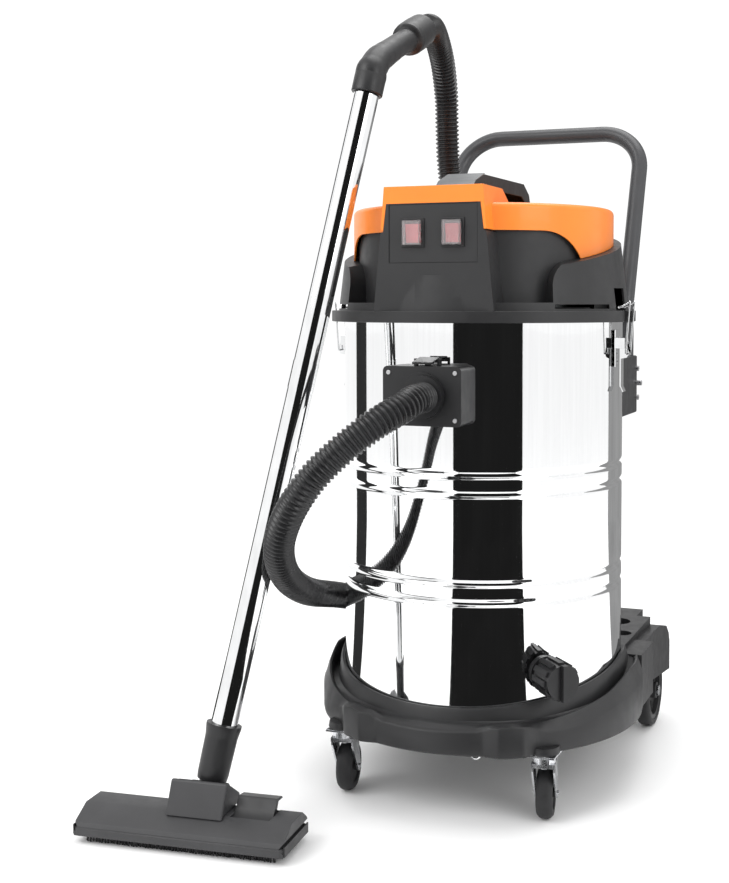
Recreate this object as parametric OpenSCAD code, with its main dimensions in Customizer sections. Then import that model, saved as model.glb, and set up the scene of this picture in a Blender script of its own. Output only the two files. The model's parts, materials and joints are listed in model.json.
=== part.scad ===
// Two-motor wet and dry shop vacuum: steel tank on a wheeled base, lift-off motor head,
// corrugated hose, steel wand and floor tool. Millimetres, +Z up, floor at z = 0.

/* [Tank] */
// Outside radius of the steel tank
tank_r = 220; // [215:1:222]
// Height of the tank's open rim above the floor
tank_top = 724; // [722:1:725]
// Height of the tank's bottom edge above the floor
tank_bottom = 112; // [112:1:114]
// Thickness of the tank's sheet steel
tank_wall = 1.5; // [1:0.1:2.5]
// Depth of each rolled bead
bead_depth = 4; // [2:0.5:5]

/* [Head] */
// Outside radius of the head's rim ring
ring_r = 240; // [238:1:242]
// Height of the underside of the rim ring
ring_z = 720; // [720:1:721]
// Thickness of the rim ring
ring_h = 17; // [16:1:18]
// Outside radius of the dark housing where it meets the ring
housing_r = 229; // [227:1:230]
// Outside radius of the orange cover
cover_r = 205; // [203:1:207]
// Height of the cover's round top
cover_top = 893; // [890:1:896]
// Height of the raised middle of the cover
crown_top = 916; // [912:1:920]
// How far the head lifts off the tank
lift_h = 140; // [100:5:140]

/* [Console] */
// Half width of the console at its top
console_top_w = 76; // [72:1:78]
// Half width of the console at the rim ring
console_bottom_w = 92; // [88:1:94]
// Distance from the tank's axis to the console's front face
console_y = 222; // [220:1:224]
// Distance between the two switches
switch_gap = 61; // [56:1:64]
// Tilt of a rocker that is switched off
rocker_tilt = 8; // [4:1:10]

/* [Base] */
// Outside radius of the round front of the base
base_r = 255; // [250:1:258]
// Height of the underside of the base above the floor
base_z = 105; // [104:1:106]
// Height of the flat shelf at the back of the base
shelf_z = 196; // [190:1:198]
// Half width of the shelf
shelf_w = 212; // [210:1:214]

/* [Wheels] */
// Radius of the swivel caster wheels
caster_r = 37.5; // [35:0.5:38]
// Width of the swivel caster wheels
caster_w = 24; // [20:1:25]
// Distance that the caster wheel trails its swivel
caster_trail = 26; // [22:1:28]
// Rest angle of the casters about their swivels
caster_turn = 10; // [0:1:30]
// Radius of the fixed rear wheels
wheel_r = 62; // [60:0.5:62]
// Width of the fixed rear wheels
wheel_w = 26; // [22:1:26]

/* [Push handle] */
// Outside radius of the handle tube
handle_tube_r = 14; // [12:0.5:15]
// Half distance between the two legs of the handle
handle_half_w = 172; // [170:1:174]
// Backward lean of the upper part of the handle
handle_tilt = 23; // [20:1:24]
// Length of the leaning part of the handle
handle_reach = 340; // [330:1:345]

/* [Hose and wand] */
// Outside radius of the hose over its corrugations
hose_r = 21.5; // [20:0.5:22]
// Outside radius of the steel wand tubes
wand_r = 19; // [18:0.5:19]

/* [Floor tool] */
// Length of the floor tool
tool_l = 310; // [300:1:315]
// Depth of the floor tool from front to back
tool_d = 94; // [90:1:96]
// Turn of the floor tool about the vertical
tool_turn = 6; // [0:1:8]

/* [Hidden] */

$fn = 96;
charcoal = [0.16, 0.16, 0.17];
black = [0.07, 0.07, 0.08];
orange = [0.94, 0.45, 0.12];
steel = [0.78, 0.79, 0.80];
chrome = [0.72, 0.73, 0.75];
eps = 0.01;
// Gap between parts of different bodies
gap = 0.4;
// Radial clearance of a shaft in its bore
running = 0.05;

inlet_front = 270;
inlet_z = 618;
inlet_x = 2;
handle_y = 255;
leg_low = 563;
elbow_z = 745;
// Bend radii of the handle's elbows and top corners
elbow_bend = 90;
corner_bend = 75;
elbow_cut = elbow_bend * tan(handle_tilt / 2);
bar_y = handle_y + handle_reach * sin(handle_tilt);
front_reach = inlet_front + 4;
back_reach = bar_y + handle_tube_r;
// The tank's axis, so that the origin is under the middle of the machine
tank_y = (front_reach - back_reach) / 2;

housing_z = ring_z + ring_h;
housing_top = 856;
recess_r = 197;
axle_y = 305;
axle_x = 207;
axle_r = 6;
swivel_x = 158;
swivel_y = -188;
pin_r = 4;
latch_y = -18;
drain_turn = 43;
drain_z = 213;
tab_y = -246;
tab_z = 666;

// Middle line of the hose, from the machine's cuff to the hand grip
hose_route = [[12, -285, 618], [12, -318, 617], [6, -350, 608], [-16, -383, 590],
  [-50, -408, 560], [-84, -422, 526], [-110, -428, 492], [-134, -420, 456],
  [-155, -398, 420], [-172, -360, 384], [-188, -306, 352], [-204, -238, 324],
  [-220, -168, 302], [-235, -98, 284], [-247, -26, 266], [-250, 40, 248],
  [-240, 98, 234], [-214, 148, 226], [-175, 190, 223], [-126, 226, 224],
  [-70, 254, 230], [-12, 270, 250], [38, 278, 290], [64, 280, 345], [66, 279, 410],
  [50, 276, 480], [20, 273, 550], [-18, 270, 620], [-58, 268, 690], [-95, 264, 765],
  [-124, 257, 840], [-142, 248, 920], [-150, 241, 1000], [-150, 234, 1060],
  [-147, 222, 1116], [-141, 190, 1165], [-133, 142, 1197], [-122, 84, 1208],
  [-110, 13, 1189]];
hose_end = hose_route[len(hose_route) - 1];
wand_low = [-261, -373, 139];
wand_high = [-113, -186, 1079];
wand_dir = (wand_high - wand_low) / norm(wand_high - wand_low);
wand_l = norm(wand_high - wand_low);
tool_hinge = wand_low - 85 * wand_dir;
tool_offset = -14;
tool_back = 21;
tool_front = tool_back - tool_d;
hinge_z = tool_hinge[2];
// Middle line of the hand grip, from the wand to the hose
grip_route = [wand_high - 2 * wand_dir, wand_high + 12 * wand_dir, [-111, -176, 1098],
  [-111, -162, 1110], [-111, -142, 1120], [-111, -100, 1139], [-110, -52, 1160],
  [-110, -48, 1162], [-110, -20, 1174.5], hose_end];

module at_tank() translate([0, tank_y, 0]) children();
module mirrored() { children(); mirror([1, 0, 0]) children(); }
module along(p, d) translate(p) rotate([0, acos(d[2] / norm(d)), atan2(d[1], d[0])]) children();
module side(s) mirror([s < 0 ? 1 : 0, 0, 0]) children();

// One closed skin through rings of the given radii, each square to the line of points
function unit(v) = v / norm(v);
function heading(p, i) = unit(p[min(i + 1, len(p) - 1)] - p[max(i - 1, 0)]);
function across(t) = unit(cross(t, abs(t[2]) > 0.9 ? [0, 1, 0] : [0, 0, 1]));
function carried(p, i) = i == 0 ? across(heading(p, 0))
  : let(n = carried(p, i - 1), t = heading(p, i)) unit(n - (n * t) * t);
module swept(p, radii, sides = 12) {
  rings = [for (i = [0 : len(p) - 1])
    let(t = heading(p, i), n = carried(p, i), b = cross(t, n), r = radii[min(i, len(radii) - 1)])
    for (k = [0 : sides - 1]) p[i] + r * (cos(360 * k / sides) * n + sin(360 * k / sides) * b)];
  walls = [for (i = [0 : len(p) - 2], k = [0 : sides - 1])
    [i * sides + k, (i + 1) * sides + k, (i + 1) * sides + (k + 1) % sides,
     i * sides + (k + 1) % sides]];
  last = (len(p) - 1) * sides;
  polyhedron(rings, concat(walls, [[for (k = [0 : sides - 1]) k]],
    [[for (k = [sides - 1 : -1 : 0]) last + k]]));
}

// ---------- tank ----------
module tank_shell() color(steel) at_tank() {
  difference() {
    rotate_extrude() polygon([[0, tank_bottom], [tank_r, tank_bottom],
      each [for (z = [312, 340, 469, 497]) each [[tank_r, z - 2], [tank_r - bead_depth, z],
        [tank_r - bead_depth, z + 2], [tank_r, z + 10]]],
      [tank_r, tank_top], [tank_r - tank_wall, tank_top],
      each [for (z = [497, 469, 340, 312]) each [[tank_r - tank_wall, z + 10],
        [tank_r - bead_depth - tank_wall, z + 2], [tank_r - bead_depth - tank_wall, z],
        [tank_r - tank_wall, z - 2]]],
      [tank_r - tank_wall, tank_bottom + 2], [0, tank_bottom + 2]]);
    translate([inlet_x, -180, inlet_z]) rotate([90, 0, 0]) cylinder(r = 26.2, h = 60);
    rotate([0, 0, drain_turn]) translate([0, -190, drain_z]) rotate([90, 0, 0])
      cylinder(r = 15.2, h = 50);
  }
}

// ---------- inlet ----------
module inlet_box() color(black) at_tank() {
  difference() {
    translate([inlet_x, 0, inlet_z]) rotate([90, 0, 0]) linear_extrude(inlet_front)
      union() {
        square([118, 70], center = true);
        square([104, 84], center = true);
        for (x = [-52, 52], z = [-35, 35]) translate([x, z]) circle(r = 7);
      }
    translate([0, 0, 500]) cylinder(r = tank_r + 0.01, h = 250);
    translate([inlet_x, -200, inlet_z]) rotate([90, 0, 0]) cylinder(r = 26, h = 90);
    translate([inlet_x - 15.5, tab_y - 12, 652]) cube([31, 26, 20]);
  }
  for (x = [-19.6, 15.6]) translate([inlet_x + x, tab_y, 0]) difference() {
    translate([0, -4, 659]) cube([4, 8, 11]);
    translate([-1, 0, tab_z]) rotate([0, 90, 0]) cylinder(r = 2 + running, h = 6);
  }
  translate([inlet_x, -inlet_front + eps, inlet_z]) rotate([90, 0, 0])
    rotate_extrude() translate([26, 0]) square([8, 4]);
}

module inlet_elbow() color(black) at_tank() translate([inlet_x, 0, inlet_z]) {
  rotate([90, 0, 0]) rotate_extrude() translate([22, 190]) square([4, 50]);
  translate([0, -190, 0]) rotate([90, 0, 0]) rotate_extrude() translate([22, -8]) square([12, 8]);
  translate([-26, -182, -70]) cube([52, 3, 96]);
}

module inlet_screws() color(chrome) at_tank()
  for (x = [-50, 50], z = [-33, 33])
    translate([inlet_x + x, -inlet_front + 3, inlet_z + z]) rotate([90, 0, 0]) {
      cylinder(r = 3.2, h = 4.6);
      translate([0, 0, -16]) cylinder(r = 2, h = 16 + eps);
    }

module release_tab() color(black) at_tank() translate([inlet_x, tab_y, tab_z]) {
  rotate([12, 0, 0]) translate([-15, -22, 1.4]) cube([30, 30, 3]);
  rotate([0, 90, 0]) cylinder(r = 2, h = 38, center = true);
  translate([-4, -2, -7]) cube([8, 4, 7]);
}

// ---------- drain ----------
module at_drain() at_tank() rotate([0, 0, drain_turn]) translate([0, 0, drain_z])
  rotate([90, 0, 0]) children();

module drain_spout() color(black) at_drain() difference() {
  union() {
    translate([0, 0, 204]) cylinder(r = 15, h = 56);
    intersection() {
      translate([0, 0, 214]) cylinder(r = 24, h = 11);
      rotate([-90, 0, 0]) difference() {
        cylinder(r = 240, h = 80, center = true);
        cylinder(r = tank_r + 0.02, h = 90, center = true);
      }
    }
  }
  translate([0, 0, 200]) cylinder(r = 11, h = 70);
}

module drain_nut() color(black) at_drain() translate([0, 0, 206]) difference() {
  cylinder(r = 23, h = 7, $fn = 6);
  translate([0, 0, -1]) cylinder(r = 15, h = 9);
}

module drain_washer() color(black) at_drain() translate([0, 0, 260 + gap])
  cylinder(r = 14, h = 3);

module drain_cap() color(black) at_drain() difference() {
  union() {
    translate([0, 0, 236]) cylinder(r = 25, h = 44);
    for (k = [0 : 11]) rotate([0, 0, 30 * k]) translate([24.5, -4, 236]) cube([3.5, 8, 38]);
    translate([-4, -26, 279]) cube([8, 52, 9]);
  }
  translate([0, 0, 235]) cylinder(r = 15 + gap, h = 29);
}

// ---------- latches ----------
module latch_brackets() color(chrome) at_tank() mirrored() translate([0, latch_y, 0]) {
  translate([tank_r + 0.05, -12, 652]) cube([2, 24, 56]);
  for (y = [-13, 10.6]) translate([tank_r + 0.05, y, 680]) cube([16, 2.4, 16]);
  translate([232, -13, 688]) rotate([-90, 0, 0]) cylinder(r = 2.4, h = 26);
  for (z = [660, 672]) translate([tank_r + 0.05, 0, z]) rotate([0, 90, 0]) cylinder(r = 3, h = 3);
}

module latch_lever() translate([0, latch_y, 0]) difference() {
  union() {
    translate([227.4, -9, 622]) cube([2, 18, 68]);
    for (y = [-7.4, 9]) translate([0, y, 0]) rotate([90, 0, 0]) linear_extrude(1.6)
      polygon([[227.4, 664], [238, 666], [242, 672], [236, 694], [227.4, 694]]);
    translate([232, 8, 688]) rotate([90, 0, 0]) cylinder(r = 4.4, h = 16);
    translate([238, 8, 672]) rotate([90, 0, 0]) cylinder(r = 3.4, h = 16);
    translate([229, -8.5, 623.5]) rotate([0, 155, 0]) cube([1.6, 17, 10]);
  }
  translate([232, 10, 688]) rotate([90, 0, 0]) cylinder(r = 2.4 + running, h = 20);
  translate([238, 10, 672]) rotate([90, 0, 0]) cylinder(r = 1.6 + running, h = 20);
}

module latch_wire() translate([0, latch_y, 0]) {
  translate([238, 17, 672]) rotate([90, 0, 0]) cylinder(r = 1.6, h = 34);
  for (y = [-16, 16]) {
    along([238, y, 672], [6, 0, 78]) cylinder(r = 1.5, h = norm([6, 0, 78]));
    translate([244, y, 750]) sphere(r = 2, $fn = 24);
    along([244, y, 750], [-16, 0, -8]) cylinder(r = 1.5, h = norm([16, 0, 8]));
  }
  translate([228, 17, 742]) rotate([90, 0, 0]) cylinder(r = 1.6, h = 34);
}

module latch_lever_left() color(chrome) at_tank() side(-1) latch_lever();
module latch_lever_right() color(chrome) at_tank() latch_lever();
module latch_wire_left() color(chrome) at_tank() side(-1) latch_wire();
module latch_wire_right() color(chrome) at_tank() latch_wire();

// ---------- filter ----------
module filter_ring() color(black) at_tank() rotate_extrude()
  polygon([[203, 709], [tank_r - tank_wall - 0.2, 709], [tank_r - tank_wall - 0.2, 717],
    [203, 717]]);

module filter_cloth() color([0.85, 0.85, 0.82]) at_tank() rotate_extrude()
  polygon([[0, 590], [150, 590], [203, 709], [203, 717], [200, 717], [200, 709], [148, 593],
    [0, 593]]);

// ---------- base ----------
module fender_outline() polygon([[200, base_z], [386, base_z - 25], [386, 132], [378, 148],
  [356, 166], [300, 180], [230, shelf_z - 12], [200, shelf_z - 12]]);

module trolley_base() color(charcoal) at_tank() difference() {
  union() {
    // round front, its rim climbing towards the sides
    difference() {
      rotate_extrude() polygon([[222, base_z], [base_r - 1, base_z], [base_r - 1, 134],
        [248, 138], [232, 143], [226, 160], [225, 208], [222, 208]]);
      translate([0, -base_r, 158]) rotate([10.3, 0, 0]) translate([-300, -50, 0])
        cube([600, 400, 120]);
      translate([-300, 60, base_z - 1]) cube([600, 300, 150]);
    }
    translate([0, 0, base_z]) cylinder(r = 236, h = 7);
    for (s = [-1, 1]) rotate([0, 0, s * 28]) translate([0, -242, base_z]) cylinder(r = 25, h = 44);
    for (s = [-1, 1]) translate([s * swivel_x, swivel_y, base_z]) cylinder(r = 27, h = 40);
    translate([-246, 0, base_z]) cube([492, 60, 85]);
  }
  translate([0, 0, base_z + 7]) cylinder(r = tank_r + gap, h = 200);
  for (s = [-1, 1]) translate([s * swivel_x, swivel_y, base_z - 1]) cylinder(r = pin_r, h = 30);
}

module rear_shelf() color(charcoal) at_tank() difference() {
  union() {
    translate([-188, 60, base_z]) cube([376, 280, shelf_z - base_z]);
    translate([-160, 330, base_z]) cube([320, 30, shelf_z - base_z - 10]);
    translate([-shelf_w, 60, 146]) cube([2 * shelf_w, 230, shelf_z - 146]);
    translate([-246, 60, base_z]) cube([492, 90, 85]);
    mirrored() {
      translate([190, 120, base_z]) cube([40, 100, 80]);
      translate([188, 0, 0]) rotate([90, 0, 90]) linear_extrude(40) fender_outline();
    }
  }
  // the tank and the round pan under it
  cylinder(r = tank_r + gap, h = 300);
  cylinder(r = 236, h = base_z + 7);
  // wheel wells and the axle's bore
  mirrored() translate([190.5, axle_y, wheel_r]) rotate([0, 90, 0]) cylinder(r = 68, h = 33);
  mirrored() translate([185, axle_y - 68, 0]) cube([38.5, 136, wheel_r]);
  translate([-240, axle_y, wheel_r]) rotate([0, 90, 0]) cylinder(r = axle_r, h = 480);
  // hollow underside of the shelf, round the tank's wall and the sockets
  difference() {
    translate([-184, 64, base_z - 1]) cube([368, 272, shelf_z - base_z - 3]);
    cylinder(r = tank_r + 5, h = 300);
    for (s = [-1, 1]) translate([s * 164, 240, 0]) cylinder(r = 26, h = 300);
    for (s = [-1, 1]) translate([s * 190, 163, 0]) cylinder(r = 20, h = 300);
    translate([-200, 0, 0]) cube([400, 150, 300]);
  }
  // accessory sockets
  for (s = [-1, 1]) {
    translate([s * 164, 240, 136]) cylinder(r = 23, h = 80);
    translate([s * 190, 163, 156]) cylinder(r = 16, h = 60);
  }
}

module antistatic_chain() color(chrome) at_tank()
  swept([for (a = [0 : 15 : 180]) [60 - 10 * cos(a), -205, base_z - 0.15 - 16 * sin(a)]], [1.7], 8);

// ---------- casters and wheels ----------
module caster_mounts() color(chrome) at_tank() mirrored() translate([swivel_x, swivel_y, 0]) {
  translate([-21, -21, base_z - 3]) cube([42, 42, 3]);
  translate([0, 0, 84]) cylinder(r = pin_r, h = 45);
  translate([0, 0, 82]) cylinder(r = 7, h = 2.6);
}

module at_caster(s) at_tank() translate([s * swivel_x, swivel_y, 0])
  rotate([0, 0, caster_turn]) children();

module caster_fork(s) at_caster(s) difference() {
  union() {
    translate([0, 0, 92]) cylinder(r = 17, h = 9.6);
    translate([-17, -15, 86]) cube([34, 38, 6.1]);
    for (x = [-17, 14.4]) {
      translate([x, 0, 0]) hull() {
        translate([0, -13, 80]) cube([2.6, 34, 12]);
        translate([0, caster_trail, caster_r]) rotate([0, 90, 0]) cylinder(r = 8, h = 2.6, $fn = 32);
      }
    }
    translate([-19, caster_trail, caster_r]) rotate([0, 90, 0]) cylinder(r = 3, h = 38);
  }
  translate([0, 0, 70]) cylinder(r = pin_r + running, h = 40);
  translate([0, 0, 80]) cylinder(r = 8, h = 6.2);
}

module caster_wheel(s) at_caster(s) translate([0, caster_trail, caster_r]) rotate([0, 90, 0])
  difference() {
    rotate_extrude() polygon([[0, -14], [7, -14], [7, -caster_w / 2 + 3], [24, -caster_w / 2 + 3],
      [25, -caster_w / 2], [32, -caster_w / 2], [caster_r - 1.5, -caster_w / 2 + 4],
      [caster_r, -4], [caster_r, 4], [caster_r - 1.5, caster_w / 2 - 4], [32, caster_w / 2],
      [25, caster_w / 2], [24, caster_w / 2 - 3], [7, caster_w / 2 - 3], [7, 14], [0, 14]]);
    cylinder(r = 3 + running, h = 60, center = true);
  }

module caster_fork_left() color(chrome) caster_fork(-1);
module caster_fork_right() color(chrome) caster_fork(1);
module caster_wheel_left() color(black) caster_wheel(-1);
module caster_wheel_right() color(black) caster_wheel(1);

module rear_axle() color(chrome) at_tank() translate([0, axle_y, wheel_r]) rotate([0, 90, 0]) {
  cylinder(r = axle_r, h = 2 * (axle_x + wheel_w / 2 + 4), center = true);
  for (s = [-1, 1]) translate([0, 0, s * (axle_x + wheel_w / 2 + 4)])
    cylinder(r = 9, h = 4, center = true);
}

module at_wheel(s) at_tank() translate([s * axle_x, axle_y, wheel_r])
  rotate([0, s * 90, 0]) children();

module rear_hub(s) at_wheel(s) difference() {
  rotate_extrude() polygon([[0, -13], [14, -13], [14, -3], [42, -3], [42, -11], [50, -11],
    [50, 11], [42, 11], [42, 3], [14, 3], [14, 14], [0, 14]]);
  cylinder(r = axle_r + running, h = 40, center = true);
  for (k = [0 : 5]) rotate([0, 0, 60 * k]) translate([28, 0, 0])
    cylinder(r = 8, h = 20, center = true);
}

module rear_tyre(s) at_wheel(s) rotate_extrude() polygon([[50, -wheel_w / 2 + 1],
  [57, -wheel_w / 2], [wheel_r - 1, -wheel_w / 2 + 3], [wheel_r, -6], [wheel_r, 6],
  [wheel_r - 1, wheel_w / 2 - 3], [57, wheel_w / 2], [50, wheel_w / 2 - 1]]);

module rear_hub_left() color(charcoal) rear_hub(-1);
module rear_hub_right() color(charcoal) rear_hub(1);
module rear_tyre_left() color(black) rear_tyre(-1);
module rear_tyre_right() color(black) rear_tyre(1);

// ---------- push handle ----------
// Points on the right half of the handle: leg, elbow, leaning part and corner
function leaning(x, along) = [x, handle_y + along * sin(handle_tilt),
  elbow_z + along * cos(handle_tilt)];
function handle_half(end) = concat(
  [[handle_half_w, handle_y, leg_low - end]],
  [for (a = [0 : 1 : 4]) let(t = handle_tilt * a / 4) [handle_half_w,
    handle_y + elbow_bend * (1 - cos(t)), elbow_z - elbow_cut + elbow_bend * sin(t)]],
  [for (a = [0 : 10 : 90]) leaning(handle_half_w - corner_bend * (1 - cos(a)),
    handle_reach - corner_bend * (1 - sin(a)))]);
function handle_line(end) = let(h = handle_half(end), n = len(h) - 1)
  concat(h, [for (i = [n : -1 : 0]) [-h[i][0], h[i][1], h[i][2]]]);

module push_handle() color(charcoal) at_tank() difference() {
  swept(handle_line(0), [handle_tube_r], 24);
  swept(handle_line(1), [handle_tube_r - 1.5], 12);
}

module handle_brackets() color(charcoal) at_tank() mirrored() difference() {
  union() {
    translate([handle_half_w, handle_y, 560]) cylinder(r = 20, h = 98);
    translate([handle_half_w - 30, 140, 560]) cube([50, 115, 98]);
  }
  translate([0, 0, 500]) cylinder(r = tank_r + 0.02, h = 200);
  translate([handle_half_w, handle_y, leg_low]) cylinder(r = handle_tube_r, h = 100);
}

module handle_bolts() color(chrome) at_tank() mirrored() for (z = [586, 611, 636])
  translate([0, handle_y, z]) rotate([0, 90, 0]) {
    translate([0, 0, handle_half_w + 20]) cylinder(r = 4.5, h = z == 611 ? 9 : 4);
    translate([0, 0, handle_half_w - 19]) cylinder(r = 2.5, h = 40);
  }

// ---------- head ----------
module wire_notch() mirrored() translate([225, latch_y - 19, ring_z - 1]) cube([30, 38, 60]);

module head_ring() color(charcoal) at_tank() difference() {
  rotate_extrude() polygon([[180, ring_z + 8], [tank_r - 10, ring_z + 8], [tank_r - 10, ring_z],
    [tank_r - 7, ring_z], [tank_r - 7, ring_z + 9], [tank_r + 3, ring_z + 9],
    [tank_r + 3, ring_z], [ring_r, ring_z], [ring_r, housing_z], [180, housing_z]]);
  wire_notch();
}

module rim_gasket() color(black) at_tank() translate([0, 0, tank_top + gap]) rotate_extrude()
  translate([tank_r - 6, 0]) square([8.5, ring_z + 9 - tank_top - gap]);

// Sloping edge where the dark side lobes meet the orange cover
module above_slope(drop = 0) translate([0, -120, 808 - drop]) rotate([10.8, 0, 0])
  translate([-300, -300, 0]) cube([600, 700, 200]);

module housing_cone(inset) rotate_extrude() polygon([[0, housing_z], [housing_r - inset, housing_z],
  [housing_r - inset - 12, housing_z + 101], [housing_r - inset - 17, housing_top + 60],
  [0, housing_top + 60]]);

// Front of the recess beside the console, whose outer edge curves out above the side lobe
module recess_outline(inset) difference() {
  union() {
    translate([-45, housing_z + 12 - inset]) square([89 + inset, 200]);
    translate([0, 772]) square([84, 120]);
  }
  translate([84, 772]) circle(r = 40 - inset);
}

module front_recess(inset = 0) mirrored() rotate([0, 0, 34]) difference() {
  translate([0, -170, 0]) rotate([90, 0, 0]) linear_extrude(90) recess_outline(inset);
  cylinder(r = recess_r - 1, h = 1000);
}

// Right half of the console's front, widest at the rim ring
console_half = [[console_bottom_w, housing_z], [81, 850], [77, 851], [console_top_w - 4, 891]];
module console_outline(inset) polygon([
  for (p = console_half) [p[0] - inset, p[1] == 891 ? 891 - inset : p[1]],
  for (i = [3 : -1 : 0]) let(p = console_half[i]) [inset - p[0], i == 3 ? 891 - inset : p[1]]]);

module head_housing() color(charcoal) at_tank() {
  difference() {
    union() {
      difference() {
        housing_cone(0);
        above_slope();
        front_recess();
      }
      translate([0, 0, housing_z]) cylinder(r = recess_r, h = housing_top - housing_z);
      rotate([90, 0, 0]) linear_extrude(console_y) console_outline(0);
    }
    translate([0, 0, housing_z - 1]) cylinder(r = recess_r - 3, h = 250);
    difference() {
      housing_cone(3);
      cylinder(r = recess_r + 1, h = 1000);
      above_slope(3);
      front_recess(3);
      translate([0, 0, housing_z]) cylinder(r = 300, h = 3);
      translate([-300, -300, 0]) cube([600, 150, 1000]);
    }
    translate([0, -150, 0]) rotate([90, 0, 0]) linear_extrude(console_y - 153)
      console_outline(3);
    // recessed switch panel and its two switch holes
    translate([-68, -console_y - 1, 806]) cube([136, 5, 84]);
    for (s = [-1, 1]) translate([s * switch_gap / 2 - 13, -console_y, 832]) cube([26, 20, 34]);
    // cooling slots beside the latches, and the latch pockets
    for (s = [-1, 1]) rotate([0, 0, s * 60]) translate([-56, -240, housing_z + 3])
      cube([112, 60, 6.5]);
    mirrored() translate([recess_r + 4, latch_y - 23, housing_z - 1]) cube([60, 46, 35]);
    // bore for the mains cable's gland
    translate([0, 180, 790]) rotate([-90, 0, 0]) cylinder(r = 10, h = 60);
  }
}

module crown() intersection() {
  rotate([90, 0, 0]) linear_extrude(console_y)
    polygon([[-81, 851], [81, 851], [console_top_w, crown_top], [-console_top_w, crown_top]]);
  translate([-100, 0, 0]) rotate([90, 0, 90]) linear_extrude(200)
    polygon([[-console_y - 1, 850], [-console_y - 1, crown_top], [-135, crown_top],
      [-112, 900], [-104, cover_top - 1], [-104, 850]]);
}

module top_cover() color(orange) at_tank() difference() {
  union() {
    rotate_extrude() polygon([[0, 800], [cover_r, 800], [cover_r, cover_top - 8],
      each [for (a = [0 : 15 : 90]) [cover_r - 8 + 8 * cos(a), cover_top - 8 + 8 * sin(a)]],
      [0, cover_top]]);
    crown();
  }
  // keep only what lies above the lobes and the recesses
  difference() {
    translate([-300, -300, 700]) cube([600, 700, 400]);
    above_slope(-gap);
  }
  difference() {
    mirrored() rotate([0, 0, 38]) translate([0, -160, 0]) rotate([90, 0, 0]) linear_extrude(80) {
      translate([-90, 700]) square([112, 153]);
      translate([22, 778]) circle(r = 75);
      translate([22, 700]) square([75, 78]);
    }
    translate([0, 0, 600]) cylinder(r = 160, h = 400);
  }
  cylinder(r = cover_r - 3, h = housing_top);
  translate([0, 0, 800]) cylinder(r = recess_r - 4, h = cover_top - 803);
  // room for the console in front of the barrel, the crown's hollow and the hand well
  difference() {
    rotate([90, 0, 0]) linear_extrude(console_y + 2) console_outline(-0.2);
    cylinder(r = recess_r - 3, h = 1000);
  }
  translate([-70, -console_y + 4, 889]) cube([140, 72, crown_top - 893]);
  translate([-46, -140.2, cover_top - 20]) cube([92, 306.2, 60]);
}

module switch_panel() color(charcoal) at_tank() difference() {
  translate([-68, -console_y + 1, 806]) cube([136, 3, 84]);
  for (s = [-1, 1]) translate([s * switch_gap / 2 - 13, -console_y, 832]) cube([26, 20, 34]);
}

module switch_bezels() color(black) at_tank() for (s = [-1, 1])
  translate([s * switch_gap / 2, -console_y + 1, 849]) difference() {
    union() {
      translate([-17.5, -2, -21]) cube([35, 2, 42]);
      translate([-12.8, 0, -16.8]) cube([25.6, 22, 33.6]);
    }
    translate([-11.5, -3, -15.5]) cube([23, 20, 31]);
  }

module splash_covers() color([0.9, 0.9, 0.92, 0.4]) at_tank() for (s = [-1, 1])
  translate([s * switch_gap / 2, -console_y - 1, 849]) difference() {
    translate([-13.5, -8, -17.5]) cube([27, 8, 35]);
    translate([-12, -7, -16]) cube([24, 8, 32]);
  }

module rocker(s) at_tank() translate([s * switch_gap / 2, -console_y + 6, 849])
  rotate([rocker_tilt, 0, 0]) {
    translate([-11, -6, -13.5]) cube([22, 5, 27]);
    translate([-2, -1.1, -3]) cube([4, 4, 6]);
    rotate([0, 90, 0]) cylinder(r = 2, h = 22.6, center = true);
  }
module rocker_left() color([0.75, 0.15, 0.15]) rocker(-1);
module rocker_right() color([0.75, 0.15, 0.15]) rocker(1);

module lift_side_outline() difference() {
  polygon([[-140, 872], [-140, 915], [-122, 930], [-80, 944], [120, 946], [150, 930], [165, 893],
    [165, 872]]);
  polygon([[-110, 860], [-110, 905], [-95, 916], [-70, 922], [108, 924], [126, 915], [136, 893],
    [136, 860]]);
}
module lift_handle() color(charcoal) at_tank() {
  translate([-30, 0, 0]) rotate([90, 0, 90]) linear_extrude(60) lift_side_outline();
  difference() {
    translate([-49, -143, 870]) cube([98, 311, 20]);
    translate([-46, -140, 873]) cube([92, 305, 20]);
  }
}
module lift_handle_plate() color([0.45, 0.46, 0.47]) at_tank()
  translate([-30, 0, 0]) rotate([90, 0, 90]) linear_extrude(60)
    polygon([[-122, 930.1], [-80, 944.1], [-80.6, 946], [-123, 931.9], [-134, 922.8],
      [-132.7, 921.2]]);

module motor_deck() color(charcoal) at_tank() difference() {
  translate([0, 0, housing_z]) cylinder(r = recess_r - 3.2, h = 5);
  for (x = [-88, 88]) translate([x, 0, housing_z - 1]) cylinder(r = 22, h = 7);
}

module motor_casings() color([0.55, 0.56, 0.58]) at_tank() for (x = [-88, 88])
  translate([x, 0, housing_z + 5]) difference() {
    rotate_extrude() polygon([[26, 0], [70, 0], [70, 44], [48, 50], [48, 96], [12, 96], [12, 99],
      [4 + running, 99], [4 + running, 93], [45, 93], [45, 47], [67, 41], [67, 3], [26, 3]]);
    for (k = [0 : 7]) rotate([0, 0, 45 * k]) translate([40, -5, 60]) cube([20, 10, 25]);
  }

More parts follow.
